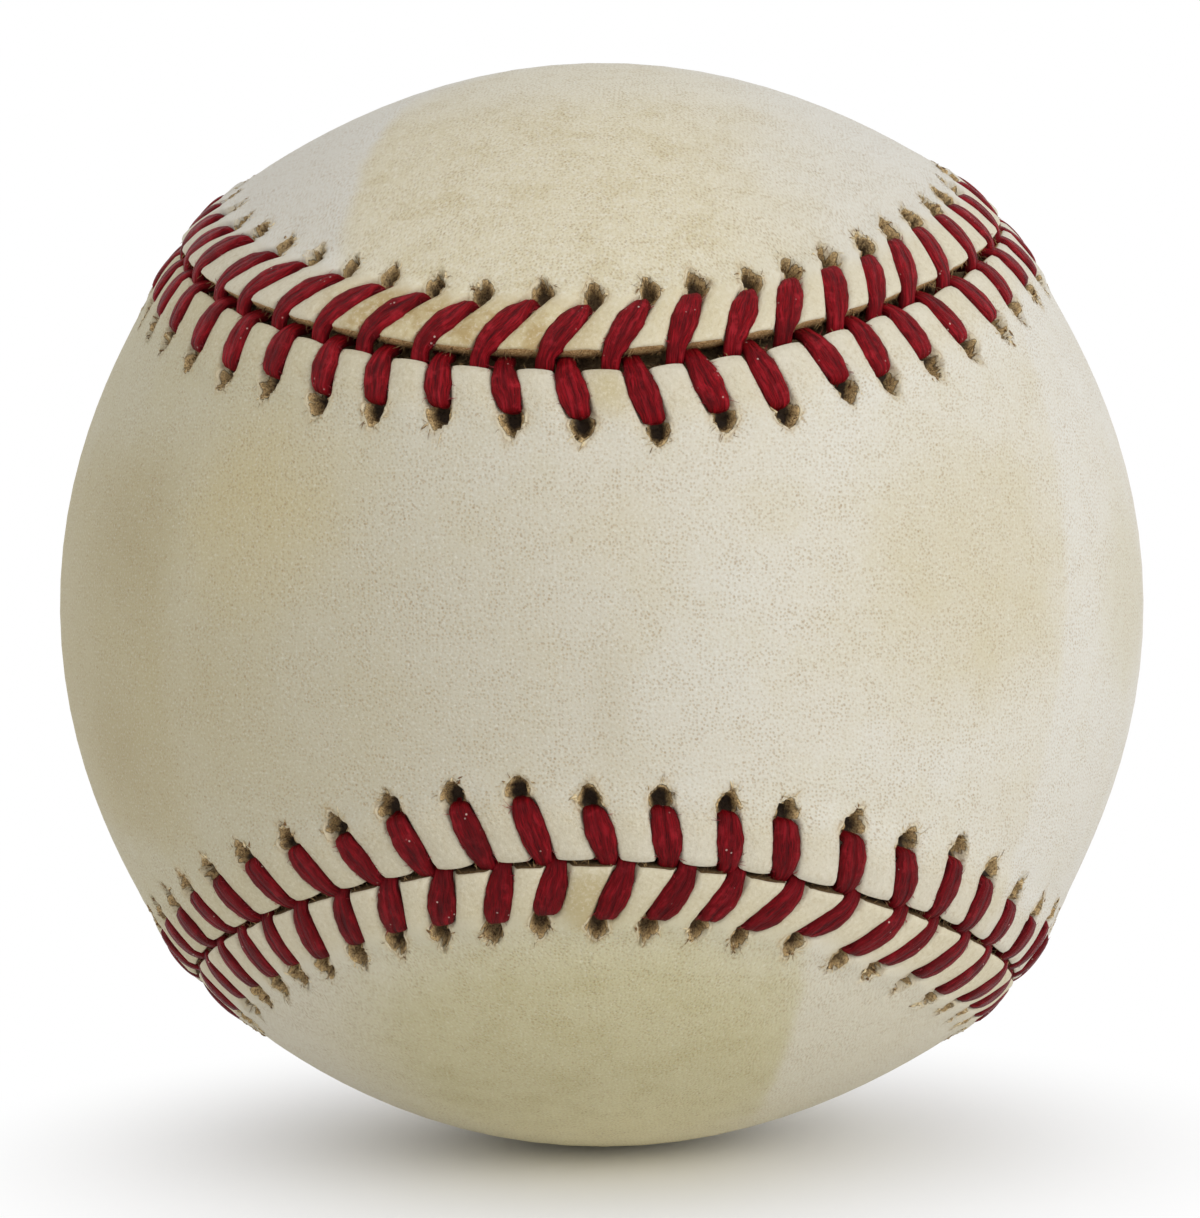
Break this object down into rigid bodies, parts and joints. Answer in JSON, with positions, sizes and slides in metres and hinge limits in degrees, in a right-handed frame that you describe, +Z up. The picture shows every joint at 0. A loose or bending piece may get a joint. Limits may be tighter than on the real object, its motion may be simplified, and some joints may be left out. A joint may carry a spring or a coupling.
{
  "type": "baseball",
  "caption": "Hand-stitched baseball: cork core, rubber, wool windings and a worn cream leather cover of two figure-eight panels, sewn with raised red stitching.",
  "frame": {"origin": "centre of the ball", "axes": "-Y out through the middle of the front panel's narrow waist, +Z up across that waist to the upper seam, +X to the right seen from the front, -Z down to the spot that a cup or ring holds"},
  "size_m": [0.0744, 0.0744, 0.0744],
  "materials": {
    "cork": "matte ground cork bound with rubber",
    "black_rubber": "matte",
    "red_rubber": "matte",
    "grey_wool": "wound wool yarn",
    "white_wool": "wound wool yarn",
    "cotton_yarn": "fine wound cotton yarn",
    "rubber_cement": "dull dried cement",
    "cover_leather": "worn cream leather with tan stains",
    "red_thread": "waxed thread, satin"
  },
  "bodies": {
    "root": {"cork_core": "cork", "black_rubber_shell_upper": "black_rubber", "black_rubber_shell_lower": "black_rubber", "rubber_gasket": "red_rubber", "red_rubber_cover": "red_rubber", "first_winding": "grey_wool", "second_winding": "white_wool", "third_winding": "grey_wool", "finishing_winding": "cotton_yarn", "cement_coat": "rubber_cement", "cover_panel_front": "cover_leather", "cover_panel_back": "cover_leather", "stitch_thread_first_needle": "red_thread", "stitch_thread_second_needle": "red_thread"}
  },
  "joints": []
}
